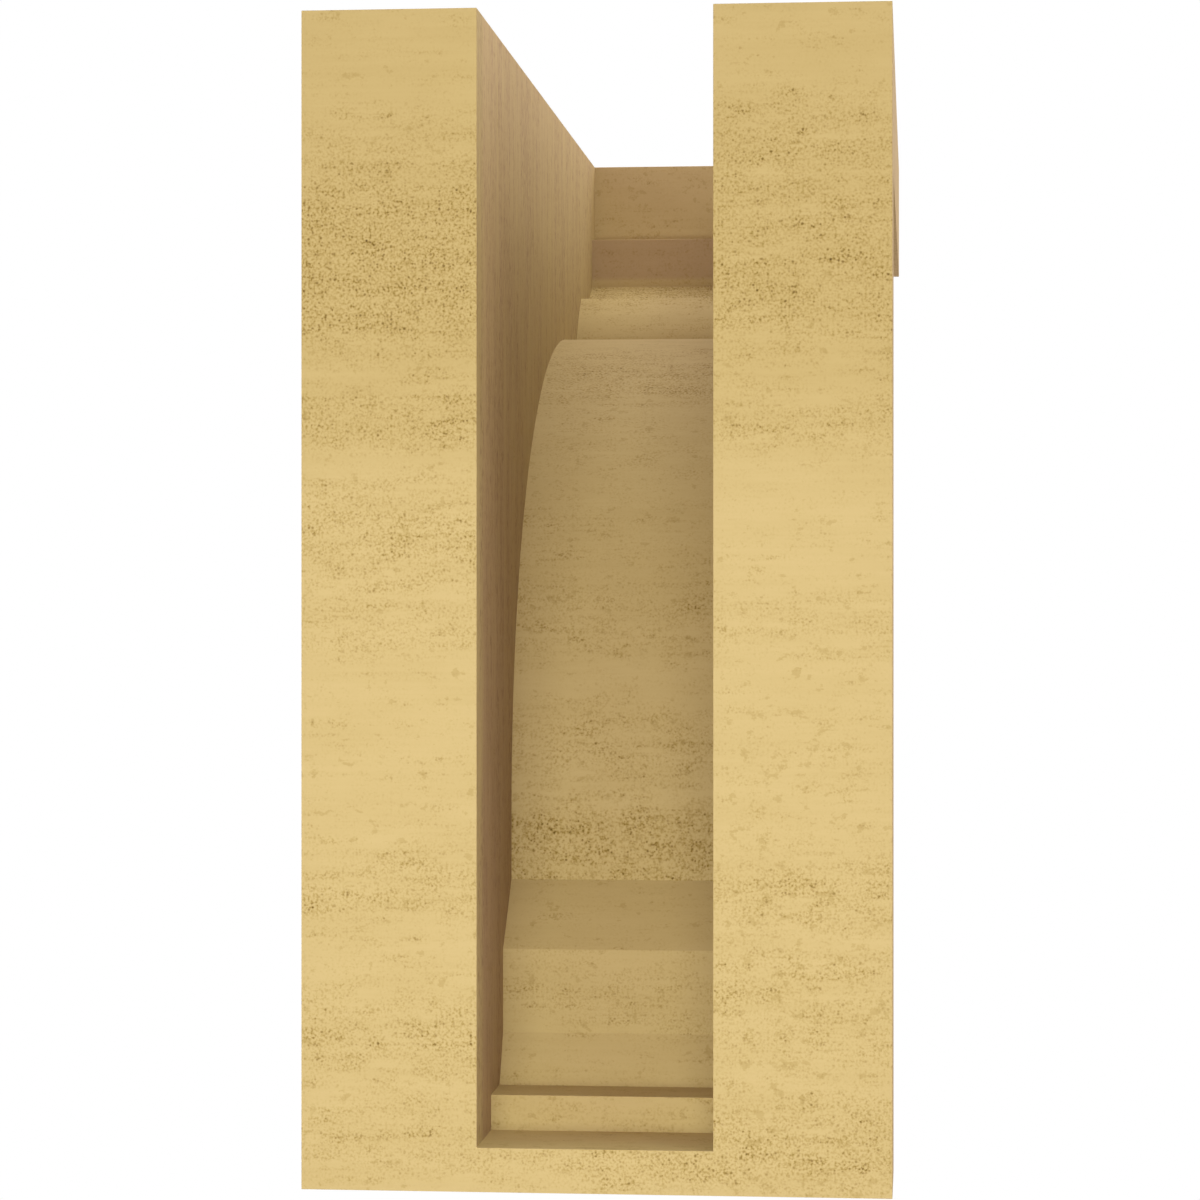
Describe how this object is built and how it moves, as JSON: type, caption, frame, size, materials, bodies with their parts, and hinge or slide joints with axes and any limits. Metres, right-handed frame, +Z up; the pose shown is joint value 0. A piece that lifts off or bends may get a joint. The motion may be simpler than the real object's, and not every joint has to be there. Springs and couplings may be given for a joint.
{
  "type": "corbel",
  "caption": "Hollow moulded bracket corbel with a deep square cap, back plate, stepped cove front and a slot open to the wall and the top.",
  "frame": {"origin": "mid-width and mid-height of the bottom rail's back face, on the wall plane", "axes": "+Z up, +Y out of the back face into the wall, front of the corbel towards -Y, X across the width"},
  "size_m": [0.254, 0.508, 0.508],
  "materials": {
    "moulding": "matte tan timber look with fine brown and olive specks in grain bands"
  },
  "bodies": {
    "root": {"corbel": "moulding"}
  },
  "joints": []
}
